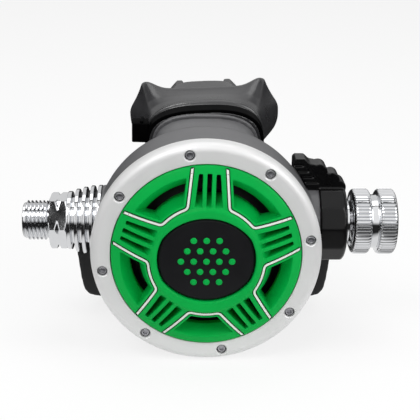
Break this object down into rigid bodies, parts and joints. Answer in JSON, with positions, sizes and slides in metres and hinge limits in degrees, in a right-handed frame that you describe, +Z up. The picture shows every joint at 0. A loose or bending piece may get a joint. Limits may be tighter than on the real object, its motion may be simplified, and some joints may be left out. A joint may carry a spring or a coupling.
{
  "type": "scuba regulator second stage",
  "caption": "Diving regulator second stage: round case with a purge button, finned hose inlet, adjustment knob, flow lever, exhaust tee and mouthpiece.",
  "frame": {"origin": "centre of the bounding box at its bottom, on the surface where the exhaust tee stands", "axes": "+X from the hose inlet to the adjustment knob, +Y from the purge cover back to the mouthpiece, +Z up"},
  "size_m": [0.1334, 0.0992, 0.087],
  "materials": {
    "black_polymer": "glass-filled polymer, satin moulded",
    "ring_aluminium": "bead-blasted, clear anodised",
    "screw_steel": "stainless socket screws",
    "green_cover": "satin moulded elastomer, green",
    "white_trim": "white inlay, satin",
    "button_polymer": "fine matt black",
    "green_grips": "green elastomer dots",
    "spring_steel": "stainless wire",
    "diaphragm_silicone": "black silicone",
    "disc_polymer": "grey polymer",
    "lever_steel": "stamped stainless",
    "barrel_brass": "machined brass, nickel flash",
    "chrome_brass": "polished chrome on brass",
    "oring_rubber": "nitrile",
    "inner_polymer": "acetal",
    "lever_polymer": "satin moulded black",
    "valve_silicone": "soft silicone",
    "tee_polymer": "satin moulded elastomer, black",
    "mouth_silicone": "dark grey silicone, matt",
    "tie_nylon": "black nylon"
  },
  "bodies": {
    "housing": {"case": "black_polymer", "front_ring": "ring_aluminium", "ring_screws": "screw_steel", "purge_cover": "green_cover", "cover_trim": "white_trim", "purge_spring": "spring_steel", "diaphragm": "diaphragm_silicone", "valve_barrel": "barrel_brass", "inlet_fitting": "chrome_brass", "inlet_oring": "oring_rubber", "heat_sink": "chrome_brass", "seat_orifice": "lever_steel", "orifice_oring": "oring_rubber", "poppet_spring": "spring_steel", "barrel_gland": "chrome_brass", "lever_washer": "lever_polymer", "exhaust_valve": "valve_silicone", "exhaust_tee": "tee_polymer", "tee_screws": "screw_steel", "mouthpiece": "mouth_silicone", "mouthpiece_tie": "tie_nylon"},
    "purge": {"purge_button": "button_polymer", "button_grips": "green_grips"},
    "diaphragm_centre": {"diaphragm_disc": "disc_polymer"},
    "lever": {"demand_lever": "lever_steel"},
    "poppet_unit": {"poppet": "inner_polymer", "poppet_seat": "oring_rubber", "poppet_nut": "barrel_brass"},
    "pad": {"spring_pad": "inner_polymer"},
    "knob": {"adjust_screw": "barrel_brass", "screw_oring": "oring_rubber", "adjust_knob": "chrome_brass", "knob_screw": "screw_steel"},
    "flow_lever": {"venturi_lever": "lever_polymer", "venturi_vane": "black_polymer"}
  },
  "joints": [
    {"name": "purge_press", "type": "slide", "parent": "housing", "child": "purge", "axis": [0, 1, 0], "range_m": [0, 0.003], "stiffness_N_per_m": 1200, "springref_m": -0.001, "deforming": ["purge_spring"]},
    {"name": "diaphragm_travel", "type": "slide", "parent": "housing", "child": "diaphragm_centre", "axis": [0, 1, 0], "range_m": [0, 0.003], "deforming": ["diaphragm"]},
    {"name": "lever_tilt", "type": "hinge", "parent": "housing", "child": "lever", "pos_m": [0.01055, -0.02327, 0.0435], "axis": [0, 0, -1], "range_deg": [0, 12.6]},
    {"name": "poppet_slide", "type": "slide", "parent": "housing", "child": "poppet_unit", "axis": [1, 0, 0], "range_m": [0, 0.0009], "deforming": ["poppet_spring"]},
    {"name": "knob_turn", "type": "hinge", "parent": "housing", "child": "knob", "pos_m": [0.05855, -0.01777, 0.0435], "axis": [-1, 0, 0], "range_deg": [0, 900]},
    {"name": "pad_slide", "type": "slide", "parent": "housing", "child": "pad", "axis": [-1, 0, 0], "range_m": [0, 0.0025], "deforming": ["poppet_spring"]},
    {"name": "flow_lever_swing", "type": "hinge", "parent": "housing", "child": "flow_lever", "pos_m": [0.04455, -0.01777, 0.0435], "axis": [-1, 0, 0], "range_deg": [0, 60]}
  ],
  "couplings": [
    {"joint": "diaphragm_travel", "follows": "purge_press", "ratio": 1},
    {"joint": "lever_tilt", "follows": "purge_press", "rad_per_m": 72.7},
    {"joint": "poppet_slide", "follows": "purge_press", "ratio": 0.267},
    {"joint": "pad_slide", "follows": "knob_turn", "m_per_rad": 0.00015915}
  ]
}
